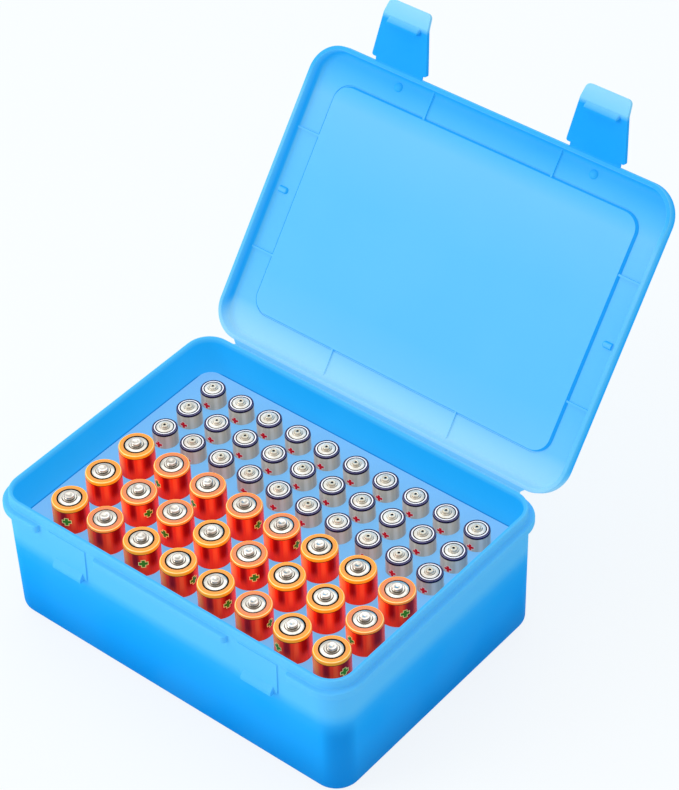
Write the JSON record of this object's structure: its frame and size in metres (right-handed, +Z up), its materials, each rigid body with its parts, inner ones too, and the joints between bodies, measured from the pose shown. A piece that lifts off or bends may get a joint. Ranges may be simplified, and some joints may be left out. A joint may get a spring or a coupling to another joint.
{
  "type": "battery storage case",
  "caption": "Shallow plastic box with a hinged lid, two hook latches and a socket rack that holds two sizes of upright round cells.",
  "frame": {"origin": "centre of the tub's underside", "axes": "+X along the case's width, -Y towards the latches, +Y towards the hinge, +Z up; the lid stands open"},
  "size_m": [0.1746, 0.2172, 0.1828],
  "materials": {
    "case": "satin moulded polypropylene",
    "lid": "satin moulded polypropylene",
    "latch": "satin moulded polypropylene",
    "rack": "satin moulded polypropylene",
    "large_cell": "gloss printed sleeve",
    "small_cell": "gloss printed sleeve"
  },
  "bodies": {
    "base": {"case_base": "case", "battery_rack": "rack", "aa_cell_01": "large_cell", "aa_cell_02": "large_cell", "aa_cell_03": "large_cell", "aa_cell_04": "large_cell", "aa_cell_05": "large_cell", "aa_cell_06": "large_cell", "aa_cell_07": "large_cell", "aa_cell_08": "large_cell", "aa_cell_09": "large_cell", "aa_cell_10": "large_cell", "aa_cell_11": "large_cell", "aa_cell_12": "large_cell", "aa_cell_13": "large_cell", "aa_cell_14": "large_cell", "aa_cell_15": "large_cell", "aa_cell_16": "large_cell", "aa_cell_17": "large_cell", "aa_cell_18": "large_cell", "aa_cell_19": "large_cell", "aa_cell_20": "large_cell", "aa_cell_21": "large_cell", "aa_cell_22": "large_cell", "aa_cell_23": "large_cell", "aa_cell_24": "large_cell", "aaa_cell_01": "small_cell", "aaa_cell_02": "small_cell", "aaa_cell_03": "small_cell", "aaa_cell_04": "small_cell", "aaa_cell_05": "small_cell", "aaa_cell_06": "small_cell", "aaa_cell_07": "small_cell", "aaa_cell_08": "small_cell", "aaa_cell_09": "small_cell", "aaa_cell_10": "small_cell", "aaa_cell_11": "small_cell", "aaa_cell_12": "small_cell", "aaa_cell_13": "small_cell", "aaa_cell_14": "small_cell", "aaa_cell_15": "small_cell", "aaa_cell_16": "small_cell", "aaa_cell_17": "small_cell", "aaa_cell_18": "small_cell", "aaa_cell_19": "small_cell", "aaa_cell_20": "small_cell", "aaa_cell_21": "small_cell", "aaa_cell_22": "small_cell", "aaa_cell_23": "small_cell", "aaa_cell_24": "small_cell", "aaa_cell_25": "small_cell", "aaa_cell_26": "small_cell", "aaa_cell_27": "small_cell", "aaa_cell_28": "small_cell", "aaa_cell_29": "small_cell", "aaa_cell_30": "small_cell"},
    "lid": {"lid": "lid"},
    "latch_left": {"latch_left": "latch"},
    "latch_right": {"latch_right": "latch"}
  },
  "joints": [
    {"name": "lid_hinge", "type": "hinge", "parent": "base", "child": "lid", "pos_m": [0, 0.065, 0.0563], "axis": [-1, 0, 0], "range_deg": [-127.7, 52.3]},
    {"name": "latch_left_hinge", "type": "hinge", "parent": "lid", "child": "latch_left", "pos_m": [-0.0476, 0.14395, 0.15845], "axis": [1, 0, 0], "range_deg": [-69, 66]},
    {"name": "latch_right_hinge", "type": "hinge", "parent": "lid", "child": "latch_right", "pos_m": [0.0476, 0.14395, 0.15845], "axis": [1, 0, 0], "range_deg": [-69, 66]}
  ]
}
